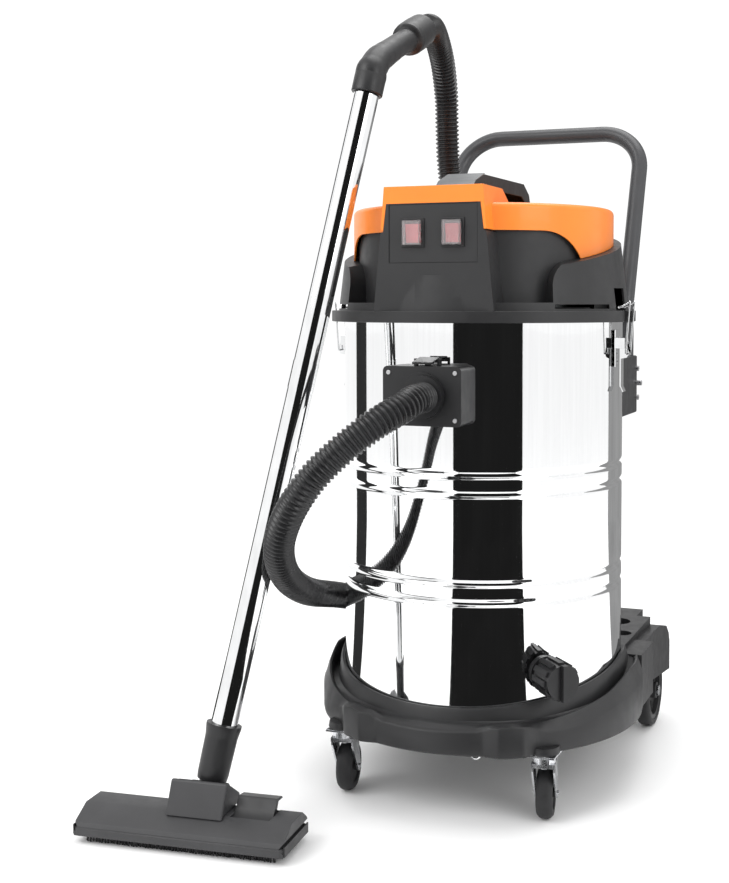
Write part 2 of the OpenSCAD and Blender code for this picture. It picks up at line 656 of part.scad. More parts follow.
module motor_rotor(x) at_tank() translate([x, 0, housing_z + 5]) {
  translate([0, 0, 8]) cylinder(r = 4, h = 88);
  translate([0, 0, 12]) cylinder(r = 60, h = 3);
  translate([0, 0, 28]) cylinder(r = 60, h = 3);
  for (k = [0 : 6]) rotate([0, 0, 51.43 * k]) translate([14, -1, 14.9]) cube([44, 2, 13.2]);
  translate([0, 0, 56]) cylinder(r = 27, h = 30);
}
module motor_rotor_left() color(steel) motor_rotor(-88);
module motor_rotor_right() color(steel) motor_rotor(88);

module float_cage() color(black) at_tank() difference() {
  translate([0, 0, 612]) cylinder(r = 116, h = housing_z - 612);
  translate([0, 0, 615]) cylinder(r = 113, h = housing_z - 612);
  for (k = [0 : 11]) rotate([0, 0, 30 * k]) translate([90, -9, 626]) cube([40, 18, 84]);
}

module float_cup() color([0.8, 0.8, 0.3]) at_tank() translate([0, 0, 615 + gap]) difference() {
  cylinder(r = 100, h = 40);
  translate([0, 0, -1]) cylinder(r = 98, h = 38);
}

module cable_gland() color(black) at_tank() translate([0, 0, 790]) rotate([-90, 0, 0])
  difference() {
    union() {
      translate([0, 0, recess_r - 6]) cylinder(r = 10, h = 35);
      translate([0, 0, 225]) cylinder(r = 15, h = 5);
      translate([0, 0, 229]) cylinder(r = 11, h = 12);
    }
    translate([0, 0, 150]) cylinder(r = 4.5, h = 100);
  }

// ---------- hose, wand and grip ----------
module hose_cuff() color(black) at_tank() translate([inlet_x + 10, 0, inlet_z]) difference() {
  rotate([90, 0, 0]) {
    translate([-10, 0, 250]) cylinder(r = 25.6, h = 25);
    translate([-5, 0, inlet_front + 4.2]) cylinder(r = 30, h = 10.8);
  }
  translate([-8, -240, 0]) rotate([90, 0, 0]) cylinder(r = 17, h = 45);
}

module hose_tube() color(black) at_tank() swept(hose_route, [hose_r]);

module hand_grip() color(black) at_tank() {
  swept(grip_route, [21.5, 21.5, 21, 20, 18.5, 18, 19.5, 26, 27, 26], 16);
  along(wand_high - 26 * wand_dir, wand_dir) cylinder(r = 23.5, h = 34);
}

module wand_tubes() color(chrome) at_tank() {
  along(wand_low, wand_dir) difference() {
    cylinder(r = wand_r, h = wand_l - 26.2);
    translate([0, 0, -1]) cylinder(r = wand_r - 1.2, h = wand_l);
  }
  along(wand_low + 500 * wand_dir, wand_dir) difference() {
    cylinder(r = wand_r + 0.6, h = 40);
    translate([0, 0, -1]) cylinder(r = wand_r - 0.5, h = 42);
  }
}

// ---------- floor tool ----------
module at_tool() at_tank() translate([tool_hinge[0], tool_hinge[1], 0])
  rotate([0, 0, tool_turn]) children();

module tool_neck() color(black) {
  at_tank() along(wand_low - 62 * wand_dir, wand_dir) difference() {
    rotate_extrude() polygon([[0, 0], [21, 0], [22, 8], [23, 60], [25, 74], [25, 78], [0, 78]]);
    translate([0, 0, 62]) cylinder(r = wand_r, h = 20);
  }
  at_tank() along(tool_hinge + 10 * wand_dir, wand_dir) cylinder(r = 17, h = 14);
  at_tool() translate([0, 0, hinge_z]) rotate([0, 90, 0])
    cylinder(r = 19, h = 52, center = true);
}

module tool_body() color(charcoal) at_tool() difference() {
  translate([tool_offset - tool_l / 2, 0, 0]) rotate([90, 0, 90]) linear_extrude(tool_l)
    polygon([[tool_front, 11], [tool_front, 24], [tool_front + 3, 29], [tool_front + 34, 46],
      [tool_back - 20, 46], [tool_back - 4, 34], [tool_back, 26], [tool_back, 11]]);
  // hollow underside, barrel seat, pedal seat with its pin, and the chamfered ends
  translate([tool_offset - tool_l / 2 + 10, tool_front + 8, 5])
    cube([tool_l - 20, tool_d - 22, 18]);
  translate([0, 0, hinge_z]) rotate([0, 90, 0]) cylinder(r = 19 + gap, h = 53, center = true);
  translate([-26.5, 0, 30]) cube([53, 40, 60]);
  translate([50, tool_front + 34, 32]) cube([58, 42, 40]);
  translate([47, -18, 44]) rotate([0, 90, 0]) cylinder(r = 1.5 + running, h = 64);
  for (s = [-1, 1]) translate([tool_offset + s * tool_l / 2, 0, 30]) rotate([0, s * 42, 0])
    translate([s > 0 ? 0 : -60, -100, -10]) cube([60, 200, 60]);
}

module tool_end_caps() color(black) at_tool() for (s = [-1, 1])
  translate([tool_offset + s * (tool_l / 2 + 1.1) - 1, tool_front + 2, 12])
    cube([2, tool_d - 6, 14]);

module tool_hood() color(charcoal) at_tool() difference() {
  translate([-42, 0, 0]) rotate([90, 0, 90]) linear_extrude(84)
    polygon([[tool_front + 24, 42], [-30, 86], [-26, 87], [14, 60], [16, 46.1],
      [tool_front + 34, 46.1]]);
  translate([-29.5, -24.5, 20]) cube([59, 60, 90]);
  translate([-29.5, -38, 20]) cube([59, 14, 46]);
  translate([0, 0, hinge_z]) rotate([0, 90, 0]) cylinder(r = 19 + gap, h = 54, center = true);
}

module tool_pedal() color(black) at_tool() translate([50.5, 0, 0]) {
  translate([-3, -18, 44]) rotate([0, 90, 0]) cylinder(r = 1.5, h = 63);
  rotate([90, 0, 90]) linear_extrude(57)
    polygon([[-34, 40], [-25, 45], [-17, 53], [-13, 61], [-8, 65], [8, 63], [12, 59.5], [-4, 60],
      [-9, 50], [-14, 40]]);
}

module tool_brushes() color(black) at_tool()
  for (y = [tool_front + 9, tool_back - 20])
    translate([tool_offset - 142, y, 0]) {
      cube([284, 5, 18]);
      for (k = [0 : 13]) translate([6 + 20 * k, 0.5, 8]) cube([12, 4, 10]);
    }

tank_shell();
inlet_box();
inlet_elbow();
inlet_screws();
release_tab();
drain_spout();
drain_nut();
drain_washer();
drain_cap();
latch_brackets();
latch_lever_left();
latch_lever_right();
latch_wire_left();
latch_wire_right();
filter_ring();
filter_cloth();
trolley_base();
rear_shelf();
antistatic_chain();
caster_mounts();
caster_fork_left();
caster_fork_right();
caster_wheel_left();
caster_wheel_right();
rear_axle();
rear_hub_left();
rear_hub_right();
rear_tyre_left();
rear_tyre_right();
push_handle();
handle_brackets();
handle_bolts();
head_ring();
rim_gasket();
head_housing();
top_cover();
switch_panel();
switch_bezels();
splash_covers();
rocker_left();
rocker_right();
lift_handle();
lift_handle_plate();
motor_deck();
motor_casings();
motor_rotor_left();
motor_rotor_right();
float_cage();
float_cup();
cable_gland();
hose_cuff();
hose_tube();
hand_grip();
wand_tubes();
tool_neck();
tool_body();
tool_hood();
tool_pedal();
tool_brushes();
tool_end_caps();
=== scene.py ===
"""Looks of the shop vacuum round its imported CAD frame. Metres, +Z up, floor at z = 0."""
import json
import math
import random

import bmesh
import bpy
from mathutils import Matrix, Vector


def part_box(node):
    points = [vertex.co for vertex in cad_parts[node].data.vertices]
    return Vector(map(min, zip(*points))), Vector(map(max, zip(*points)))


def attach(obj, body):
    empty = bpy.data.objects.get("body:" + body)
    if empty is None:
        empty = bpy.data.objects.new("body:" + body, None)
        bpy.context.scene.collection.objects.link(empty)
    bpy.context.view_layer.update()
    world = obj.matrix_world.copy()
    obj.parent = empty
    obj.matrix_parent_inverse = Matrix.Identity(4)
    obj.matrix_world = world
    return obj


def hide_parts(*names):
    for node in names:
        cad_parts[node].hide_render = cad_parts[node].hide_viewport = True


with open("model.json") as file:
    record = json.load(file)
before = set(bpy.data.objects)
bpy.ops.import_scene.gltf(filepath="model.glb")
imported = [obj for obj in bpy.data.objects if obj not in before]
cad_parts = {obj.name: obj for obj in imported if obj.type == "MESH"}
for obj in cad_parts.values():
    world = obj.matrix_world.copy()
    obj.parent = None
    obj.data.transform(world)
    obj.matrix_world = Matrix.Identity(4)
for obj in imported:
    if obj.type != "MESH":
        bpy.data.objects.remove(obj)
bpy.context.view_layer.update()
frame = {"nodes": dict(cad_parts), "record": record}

RECORD = frame["record"]
NODES = frame["nodes"]
BODY_OF = {n: b for b, members in RECORD["behaviour"]["bodies"].items() for n in members}
SLOT_OF = {s["node"]: s["material_slot"] for s in RECORD["subparts"]}
MM = 0.001
TANK_LOW, TANK_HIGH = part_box("tank_shell")
# The tank's vertical axis, which the machine's outlines are measured from
AXIS = Vector(((TANK_LOW.x + TANK_HIGH.x) / 2, (TANK_LOW.y + TANK_HIGH.y) / 2, 0))
TANK_R = (TANK_HIGH.x - TANK_LOW.x) / 2


def at_tank(points):
    """Points in millimetres from the tank's axis, as places in the frame."""
    return [AXIS + Vector(p) * MM for p in points]


# ---------- camera ----------
# Place and direction of the camera that took the photo, from the tank's foot
CAMERA_SPOT = Vector((0.6705, -1.9391, 0.7477))
CAMERA_VIEW = Vector((-0.3508, 0.9353, -0.0455))
# Degrees of that place from the front about the tank, which the reflected cards are set out from
CAMERA_AZIMUTH = 19.1


def place_camera():
    camera = bpy.data.objects.new("camera", bpy.data.cameras.new("camera"))
    bpy.context.scene.collection.objects.link(camera)
    camera.location = AXIS + CAMERA_SPOT
    camera.rotation_euler = CAMERA_VIEW.to_track_quat("-Z", "Y").to_euler()
    camera.data.lens = 52.5
    camera.data.shift_x = -0.0968
    camera.data.shift_y = -0.0898
    bpy.context.scene.camera = camera


# ---------- mesh helpers ----------
def new_piece(name, verts, faces, smooth_angle=35):
    mesh = bpy.data.meshes.new(name)
    mesh.from_pydata([tuple(v) for v in verts], [], faces)
    mesh.validate()
    work = bmesh.new()
    work.from_mesh(mesh)
    bmesh.ops.recalc_face_normals(work, faces=work.faces)
    work.to_mesh(mesh)
    work.free()
    piece = bpy.data.objects.new(name, mesh)
    bpy.context.scene.collection.objects.link(piece)
    shade(piece, smooth_angle)
    return piece


def shade(piece, angle):
    """Smooth shading that keeps edges sharper than the angle crisp."""
    piece.data.shade_smooth()
    piece.data.set_sharp_from_angle(angle=math.radians(angle))


def loft(name, rings, closed_ends=True, loop=False, smooth_angle=35):
    """One skin through rings that all have the same number of points."""
    count = len(rings[0])
    verts = [v for ring in rings for v in ring]
    faces = []
    for i in range(len(rings) if loop else len(rings) - 1):
        low, high = i * count, (i + 1) % len(rings) * count
        for k in range(count):
            nxt = (k + 1) % count
            faces.append((low + k, low + nxt, high + nxt, high + k))
    if closed_ends and not loop:
        faces.append(tuple(range(count)))
        faces.append(tuple(len(verts) - count + k for k in range(count)))
    return new_piece(name, verts, faces, smooth_angle)


def lathe(name, profile, steps=160, centre=None, smooth_angle=35):
    """A closed profile of (radius, height) points in metres, turned about a vertical axis."""
    middle = AXIS if centre is None else centre
    rings = []
    for i in range(steps):
        a = math.tau * i / steps
        rings.append([middle + Vector((r * math.cos(a), r * math.sin(a), z)) for r, z in profile])
    return loft(name, rings, loop=True, smooth_angle=smooth_angle)


def curve_points(points, step):
    """Even points along the smooth curve through the given ones."""
    p = [2 * points[0] - points[1], *points, 2 * points[-1] - points[-2]]
    fine = []
    for i in range(1, len(p) - 2):
        for k in range(24):
            t = k / 24
            fine.append(0.5 * (2 * p[i] + (p[i + 1] - p[i - 1]) * t
                + (2 * p[i - 1] - 5 * p[i] + 4 * p[i + 1] - p[i + 2]) * t * t
                + (3 * p[i] - p[i - 1] - 3 * p[i + 1] + p[i + 2]) * t ** 3))
    fine.append(points[-1].copy())
    lengths = [0.0]
    for a, b in zip(fine, fine[1:]):
        lengths.append(lengths[-1] + (b - a).length)
    count = max(2, round(lengths[-1] / step))
    even, j = [], 0
    for n in range(count + 1):
        want = lengths[-1] * n / count
        while j < len(lengths) - 2 and lengths[j + 1] < want:
            j += 1
        share = (want - lengths[j]) / max(lengths[j + 1] - lengths[j], 1e-9)
        even.append(fine[j].lerp(fine[j + 1], min(max(share, 0), 1)))
    return even, lengths[-1]


def frames_along(path):
    """A tangent and two cross directions at each point, carried without twist."""
    last = len(path) - 1
    tangents = [(path[min(i + 1, last)] - path[max(i - 1, 0)]).normalized() for i in range(last + 1)]
    up = Vector((0, 0, 1)) if abs(tangents[0].z) < 0.9 else Vector((0, 1, 0))
    normal = tangents[0].cross(up).normalized()
    out = []
    for t in tangents:
        normal = (normal - t * normal.dot(t)).normalized()
        out.append((t, normal, t.cross(normal)))
    return out


def tube(name, path, radii, sides=24, smooth_angle=35):
    """A round skin along a path; radii holds one radius, or one for each point."""
    rings = []
    for i, (p, (_, n, b)) in enumerate(zip(path, frames_along(path))):
        r = radii[min(i, len(radii) - 1)]
        rings.append([p + (n * math.cos(a) + b * math.sin(a)) * r
            for a in (math.tau * k / sides for k in range(sides))])
    return loft(name, rings, smooth_angle=smooth_angle)


def joined(name, pieces):
    """The pieces as one object."""
    mesh = bpy.data.meshes.new(name)
    work = bmesh.new()
    for piece in pieces:
        work.from_mesh(piece.data)
        bpy.data.objects.remove(piece)
    work.to_mesh(mesh)
    work.free()
    whole = bpy.data.objects.new(name, mesh)
    bpy.context.scene.collection.objects.link(whole)
    shade(whole, 35)
    return whole


def rounded(piece, width, segments=2, angle=30):
    """Rounds the piece's edges with a bevel and evens out its shading."""
    bevel = piece.modifiers.new("edges", "BEVEL")
    bevel.width = width
    bevel.segments = segments
    bevel.limit_method = "ANGLE"
    bevel.angle_limit = math.radians(angle)
    bevel.use_clamp_overlap = True
    bevel.harden_normals = False
    piece.modifiers.new("shading", "WEIGHTED_NORMAL").keep_sharp = False
    return piece


# ---------- materials ----------
def shader(name):
    material = bpy.data.materials.new(name)
    material.use_nodes = True
    tree = material.node_tree
    return material, tree, tree.nodes["Principled BSDF"]


def noise(tree, scale, detail=3.0, stretch=(1, 1, 1), distortion=0.0):
    place = tree.nodes.new("ShaderNodeTexCoord")
    mapping = tree.nodes.new("ShaderNodeMapping")
    mapping.inputs["Scale"].default_value = stretch
    texture = tree.nodes.new("ShaderNodeTexNoise")
    texture.inputs["Scale"].default_value = scale
    texture.inputs["Detail"].default_value = detail
    texture.inputs["Distortion"].default_value = distortion
    tree.links.new(place.outputs["Object"], mapping.inputs["Vector"])
    tree.links.new(mapping.outputs["Vector"], texture.inputs["Vector"])
    return texture.outputs["Fac"]


def spread(tree, value, low, high, start=0.3, end=0.7):
    """Maps a noise value to a range of numbers."""
    node = tree.nodes.new("ShaderNodeMapRange")
    node.inputs["From Min"].default_value = start
    node.inputs["From Max"].default_value = end
    node.inputs["To Min"].default_value = low
    node.inputs["To Max"].default_value = high
    tree.links.new(value, node.inputs["Value"])
    return node.outputs["Result"]


def two_tone(tree, value, dark, light):
    """Maps a noise value to a range of colours."""
    node = tree.nodes.new("ShaderNodeValToRGB")
    node.color_ramp.elements[0].position = 0.3
    node.color_ramp.elements[1].position = 0.7
    node.color_ramp.elements[0].color = (*dark, 1)
    node.color_ramp.elements[1].color = (*light, 1)
    tree.links.new(value, node.inputs["Fac"])
    return node.outputs["Color"]


def bumped(tree, bsdf, value, strength, distance):
    node = tree.nodes.new("ShaderNodeBump")
    node.inputs["Strength"].default_value = strength
    node.inputs["Distance"].default_value = distance
    tree.links.new(value, node.inputs["Height"])
    tree.links.new(node.outputs["Normal"], bsdf.inputs["Normal"])


def tinted(rgb, factor):
    return tuple(min(1.0, c * factor) for c in rgb)


def plastic(name, rgb, rough, grain=900, depth=0.00006, vary=0.12, coat=0.0):
    """Moulded plastic: faint mottling, fine spark-eroded grain and uneven gloss."""
    material, tree, bsdf = shader(name)
    mottle = noise(tree, 14, 4)
    tone = two_tone(tree, mottle, tinted(rgb, 1 - vary), tinted(rgb, 1 + vary))
    tree.links.new(tone, bsdf.inputs["Base Color"])
    gloss = spread(tree, noise(tree, 55, 5), rough - 0.05, rough + 0.06)
    tree.links.new(gloss, bsdf.inputs["Roughness"])
    bumped(tree, bsdf, noise(tree, grain, 2), 0.35, depth)
    bsdf.inputs["Specular IOR Level"].default_value = 0.42
    bsdf.inputs["Coat Weight"].default_value = coat
    return material


def metal(name, rgb, rough, stretch=(1, 1, 1), scale=60, wave=0.0, vary=0.06):
    """Plated or polished metal: streaked gloss, and a slight wave in thin sheet."""
    material, tree, bsdf = shader(name)
    streaks = noise(tree, scale, 5, stretch)
    tone = two_tone(tree, streaks, tinted(rgb, 1 - vary), tinted(rgb, 1 + vary))
    tree.links.new(tone, bsdf.inputs["Base Color"])
    tree.links.new(spread(tree, streaks, rough * 0.6, rough * 1.5), bsdf.inputs["Roughness"])
    bsdf.inputs["Metallic"].default_value = 1.0
    if wave:
        bumped(tree, bsdf, noise(tree, 5, 1, (1, 1, 0.35)), 0.3, wave)
    return material


def tyre_rubber(name, rgb, rough):
    """Rubber: matt, dusty in patches and finely pitted."""
    material, tree, bsdf = shader(name)
    dust = noise(tree, 26, 6, distortion=0.4)
    tree.links.new(two_tone(tree, dust, tinted(rgb, 0.75), tinted(rgb, 1.5)), bsdf.inputs["Base Color"])
    tree.links.new(spread(tree, dust, rough - 0.08, rough + 0.08), bsdf.inputs["Roughness"])
    bumped(tree, bsdf, noise(tree, 1400, 3), 0.4, 0.00008)
    bsdf.inputs["Specular IOR Level"].default_value = 0.3
    return material


def clear_plastic(name):
    """Soft clear splash cover, a little milky, with faint streaks."""
    material, tree, bsdf = shader(name)
    streaks = noise(tree, 90, 3, (1, 1, 0.3))
    tree.links.new(spread(tree, streaks, 0.10, 0.28), bsdf.inputs["Roughness"])
    tree.links.new(two_tone(tree, streaks, (0.94, 0.86, 0.87), (1, 0.97, 0.97)), bsdf.inputs["Base Color"])
    bsdf.inputs["Transmission Weight"].default_value = 0.86
    bsdf.inputs["IOR"].default_value = 1.3
    return material


def cotton(name, rgb):
    """Woven filter cloth: two crossed sets of threads."""
    material, tree, bsdf = shader(name)
    place = tree.nodes.new("ShaderNodeTexCoord")
    threads = []
    for direction in ("X", "Z"):
        wave = tree.nodes.new("ShaderNodeTexWave")
        wave.bands_direction = direction
        wave.inputs["Scale"].default_value = 420
        tree.links.new(place.outputs["Object"], wave.inputs["Vector"])
        threads.append(wave.outputs["Fac"])
    weave = tree.nodes.new("ShaderNodeMath")
    weave.operation = "MAXIMUM"
    tree.links.new(threads[0], weave.inputs[0])
    tree.links.new(threads[1], weave.inputs[1])
    tree.links.new(two_tone(tree, noise(tree, 9, 6), tinted(rgb, 0.85), tinted(rgb, 1.05)),
        bsdf.inputs["Base Color"])
    bumped(tree, bsdf, weave.outputs["Value"], 0.6, 0.0003)
    bsdf.inputs["Roughness"].default_value = 0.9
    bsdf.inputs["Sheen Weight"].default_value = 0.3
    return material


MATERIALS = {
    "tank_steel": metal("polished steel", (0.90, 0.905, 0.91), 0.035, (6, 6, 0.15), 40, 0.0006, 0.03),
    "black_plastic": plastic("black plastic", (0.013, 0.013, 0.014), 0.40),
    "charcoal_plastic": plastic("charcoal plastic", (0.020, 0.020, 0.021), 0.44),
    "orange_plastic": plastic("orange plastic", (0.84, 0.215, 0.018), 0.34, 700, 0.00004, 0.05, 0.15),
    "grey_plastic": plastic("grey plastic", (0.14, 0.145, 0.15), 0.40),
    "clear_cover": clear_plastic("clear cover"),
    "rocker_red": plastic("red rocker", (0.72, 0.075, 0.09), 0.2, 500, 0.00002, 0.2, 0.4),
    "chrome": metal("bright chrome", (0.86, 0.865, 0.87), 0.05, (1, 1, 0.3), 70),
    "zinc": metal("zinc plate", (0.66, 0.67, 0.69), 0.22, (1, 1, 1), 45, 0.0, 0.14),
    "screw_steel": metal("plain steel", (0.55, 0.55, 0.56), 0.3, (1, 1, 1), 120, 0.0, 0.12),
    "handle_paint": plastic("handle paint", (0.040, 0.041, 0.044), 0.36, 500, 0.00005, 0.1, 0.1),
    "rubber": tyre_rubber("seal rubber", (0.015, 0.015, 0.015), 0.72),
    "tyre": tyre_rubber("tyre rubber", (0.020, 0.020, 0.021), 0.6),
    "hose_plastic": plastic("hose plastic", (0.016, 0.016, 0.017), 0.28, 300, 0.00004, 0.15),
    "filter_cloth": cotton("filter cotton", (0.68, 0.67, 0.61)),
    "motor_casing": metal("cast aluminium", (0.45, 0.46, 0.48), 0.4, (1, 1, 1), 160, 0.0, 0.15),
    "float_plastic": plastic("float plastic", (0.62, 0.60, 0.24), 0.4),
    "bristle": plastic("nylon bristle", (0.010, 0.010, 0.011), 0.5, 2500, 0.0001, 0.25),
}


# The floor tool is moulded in a paler plastic than the rest
TOOL_PLASTIC = plastic("tool plastic", (0.040, 0.040, 0.042), 0.46)


def dressed(piece, node, *more):
    """The piece stands for the node, moves with its body and takes its slot's material."""
    piece.data.materials.clear()
    paler = node in ("tool_body", "tool_hood")
    piece.data.materials.append(TOOL_PLASTIC if paler else MATERIALS[SLOT_OF[node]])
    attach(piece, BODY_OF[node])
    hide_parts(node, *more)
    return piece


# ---------- hose and wand ----------
HOSE_ROUTE = at_tank([
    (12, -285, 618), (12, -318, 617), (6, -350, 608), (-16, -383, 590),
    (-50, -408, 560), (-84, -422, 526), (-110, -428, 492), (-134, -420, 456),
    (-155, -398, 420), (-172, -360, 384), (-188, -306, 352), (-204, -238, 324),
    (-220, -168, 302), (-235, -98, 284), (-247, -26, 266), (-250, 40, 248),
    (-240, 98, 234), (-214, 148, 226), (-175, 190, 223), (-126, 226, 224),
    (-70, 254, 230), (-12, 270, 250), (38, 278, 290), (64, 280, 345), (66, 279, 410),
    (50, 276, 480), (20, 273, 550), (-18, 270, 620), (-58, 268, 690), (-95, 264, 765),
    (-124, 257, 840), (-142, 248, 920), (-150, 241, 1000), (-150, 234, 1060),
    (-147, 222, 1116), (-141, 190, 1165), (-133, 142, 1197), (-122, 84, 1208),
    (-110, 13, 1189)])
HOSE_R = 0.0215
RIDGE_PITCH = 0.0074
# Depth below the ridge's crest at even steps along one ridge
RIDGE = (0.0036, 0.0034, 0.0022, 0.0004, 0.0, 0.0012)


def make_hose():
    path, length = curve_points(HOSE_ROUTE, RIDGE_PITCH / len(RIDGE))
    radii = [HOSE_R - RIDGE[i % len(RIDGE)] for i in range(len(path))]
    hose = dressed(tube("corrugated_hose", path, radii, 28, 60), "hose_tube")
    return hose, path[::len(RIDGE)] + [path[-1]], length


def make_grip():
    """The moulded grip: a sleeve on the wand, a bent neck and a flared hose collar."""
    stations = [
        ((-113.6, -186.8, 1075), 22.5), ((-112.4, -184.8, 1082), 23.4), ((-112.3, -183, 1090), 23.0),
        ((-111.4, -176, 1098), 21.6), ((-111, -162, 1110), 21.0), ((-111, -142, 1120), 20.0),
        ((-111, -118, 1131), 19.0), ((-111, -92, 1143), 18.3), ((-110.3, -66, 1154), 18.2),
        ((-110.1, -52, 1160), 19.4), ((-110, -48, 1162), 25.6), ((-110, -40, 1165.5), 26.8),
        ((-110, -20, 1174.5), 27.0), ((-110, 8, 1187), 26.2)]
    points = at_tank([p for p, _ in stations])
    path, _ = curve_points(points, 0.0015)
    reach = [0.0]
    for a, b in zip(path, path[1:]):
        reach.append(reach[-1] + (b - a).length)
    marks = [reach[min(range(len(path)), key=lambda i: (path[i] - p).length)] for p in points]
    radii = []
    for s in reach:
        k = max(j for j in range(len(marks)) if marks[j] <= s + 1e-9)
        k = min(k, len(marks) - 2)
        t = (s - marks[k]) / max(marks[k + 1] - marks[k], 1e-6)
        t = min(max(t, 0), 1)
        t = t * t * (3 - 2 * t)
        radii.append((stations[k][1] * (1 - t) + stations[k + 1][1] * t) * MM)
    grip = tube("grip_moulding", path, radii, 40)
    low = Vector((-113, -186, 1079)) * MM + AXIS
    down = (Vector((-261, -373, 139)) - Vector((-113, -186, 1079))).normalized()
    sleeve = tube("sleeve", [low + down * 0.024, low + down * 0.0225, low - down * 0.004,
        low - down * 0.0075], [0.0222, 0.0234, 0.0234, 0.0215], 40)
    return dressed(joined("hand_grip_moulding", [grip, sleeve]), "hand_grip")


# ---------- the rest of the machine ----------
# Heights and depth of the tank's rolled beads, and its sheet thickness, in metres
BEADS = (0.315, 0.343, 0.472, 0.500)
BEAD_DEPTH = 0.004
TANK_WALL = 0.0015


def make_tank():
    """The steel shell with its rolled beads."""
    bottom, top = TANK_LOW.z, TANK_HIGH.z

    def radius(z):
        r = TANK_R
        for bead in BEADS:
            d = z - bead
            width = 0.0055 if d < 0 else 0.010
            if abs(d) < width:
                r -= BEAD_DEPTH / 2 * (1 + math.cos(math.pi * d / width))
        return r

    heights = [bottom, bottom + 0.004, 0.2, 0.3]
    heights += [0.305 + 0.001 * k for k in range(50)]
    heights += [0.38, 0.43, 0.46]
    heights += [0.462 + 0.001 * k for k in range(50)]
    heights += [0.54, 0.6, 0.66, top - 0.002, top]
    outer = [(radius(z), z) for z in heights]
    inner = [(radius(z) - TANK_WALL, z) for z in reversed(heights)]
    return dressed(lathe("steel_tank", outer + inner, 256), "tank_shell")


def make_push_handle():
    """The bent handle tube, with smooth elbows and corners."""
    # Half width, distance behind the tank's axis, foot, elbow and length, in millimetres
    half, y, low, elbow, reach = 172, 255, 563, 745, 340
    tilt = math.radians(23)
    # Bend radii of the elbows and of the top corners
    bend, corner = 90, 75
    cut = bend * math.tan(tilt / 2)
    right = [(half, y, low), (half, y, (low + elbow) / 2)]
    for k in range(7):
        a = tilt * k / 6
        right.append((half, y + bend * (1 - math.cos(a)), elbow - cut + bend * math.sin(a)))
    for k in range(19):
        a = math.radians(5 * k)
        along = reach - corner * (1 - math.sin(a))
        right.append((half - corner * (1 - math.cos(a)), y + along * math.sin(tilt),
            elbow + along * math.cos(tilt)))
    left = [(-x, b, z) for x, b, z in reversed(right)]
    path = at_tank(right + left)
    return dressed(tube("handle_tube", path, [0.014], 32), "push_handle")


def make_filter():
    """The cotton cone under the head, with soft folds towards its flat end."""
    rings = []
    for i in range(25):
        t = i / 24
        ring = []
        for k in range(240):
            a = math.tau * k / 240
            fold = 0.0035 * math.sin(18 * a) * math.sin(math.pi * min(t * 1.4, 1)) * (t > 0)
            if t < 0.6:
                s = t / 0.6
                r, z = 0.2015 - 0.0515 * s, 0.716 - 0.124 * s
            else:
                s = (t - 0.6) / 0.4
                r, z = 0.150 * (1 - s) + 0.002 * s, 0.592
            r = min(max(r + fold * 0.6 - 0.002, 0.001), 0.201)
            ring.append(AXIS + Vector((r * math.cos(a), r * math.sin(a), z + 0.0015)))
        rings.append(ring)
    cone = loft("filter_cone", rings, closed_ends=False)
    thick = cone.modifiers.new("cloth", "SOLIDIFY")
    thick.thickness = 0.0008
    dressed(cone, "filter_cloth")


def between(table, at):
    """The value at a place in a table of (place, value) pairs, on straight lines between them."""
    for (a, low), (b, high) in zip(table, table[1:]):
        if at <= b:
            return low + (high - low) * (at - a) / (b - a)
    return table[-1][1]


# Heights in millimetres round the base moulding, by degrees from the middle of its front
CREASE = ((0, 147), (35, 148), (43, 150), (58, 154), (82, 162), (95, 178), (105, 187))
RIDGE_LINE = ((0, 143), (17, 145), (22, 151), (30, 153), (37, 148), (50, 156), (67, 170),
    (84, 190), (105, 190))
WALL_TOP = ((0, 139), (17, 141), (22, 148), (28, 151), (33, 149), (40, 138), (49, 137), (71, 153),
    (96, 162), (105, 168))
# How far the wall stands out at the pads over the casters
PAD = ((0, 0), (19, 0), (24, 11), (32, 11), (37, 0), (105, 0))
RIM_SLOPE = math.tan(math.radians(10.3))


def make_base():
    """The round front of the base: ledge, valley, climbing ridge and outer wall with its pads."""
    rings = []
    for i in range(281):
        azimuth = -105 + 0.75 * i
        a = abs(azimuth)
        rim = min(158.5 + (255 - 221 * math.cos(math.radians(azimuth))) * RIM_SLOPE, 206)
        crease, ridge, wall = between(CREASE, a), between(RIDGE_LINE, a), between(WALL_TOP, a)
        out = between(PAD, a)
        section = [(221.3, rim - 1), (222.5, rim), (225.5, rim), (227.5, rim - 3),
            (231, crease + 2), (234, crease), (239, crease - 0.5), (243, max(ridge - 1, crease - 2)),
            (246, ridge), (249.5 + out * 0.7, (ridge * 2 + wall) / 3), (253.5 + out, wall + 0.5),
            (255 + out, wall - 2), (255 + out, 112), (254 + out, 107), (251 + out, 105), (221.3, 105)]
        turn = Vector((math.sin(math.radians(azimuth)), -math.cos(math.radians(azimuth)), 0))
        rings.append([AXIS + turn * r * MM + Vector((0, 0, z * MM)) for r, z in section])
    band = loft("band", rings, smooth_angle=50)
    plate = lathe("plate", [(0.02, 0.1052), (0.2225, 0.1052), (0.2225, 0.1118), (0.02, 0.1118)], 96)
    pads = []
    for sign in (-1, 1):
        spot = AXIS + Vector((sign * 0.158, -0.188, 0))
        pads.append(lathe("pad", [(0.003, 0.1051), (0.022, 0.1051), (0.0235, 0.108), (0.022, 0.116),
            (0.003, 0.116)], 40, spot))
    return dressed(joined("base_moulding", [band, plate, *pads]), "trolley_base")


TOOL_JOINT = next(j for j in RECORD["behaviour"]["joints"] if j["name"] == "floor_tool_tilt")
TOOL_FOOT = Vector((TOOL_JOINT["pos_m"][0], TOOL_JOINT["pos_m"][1], 0))
TOOL_ALONG = Vector(TOOL_JOINT["axis"]).normalized()
TOOL_BACK = Vector((-TOOL_ALONG.y, TOOL_ALONG.x, 0))


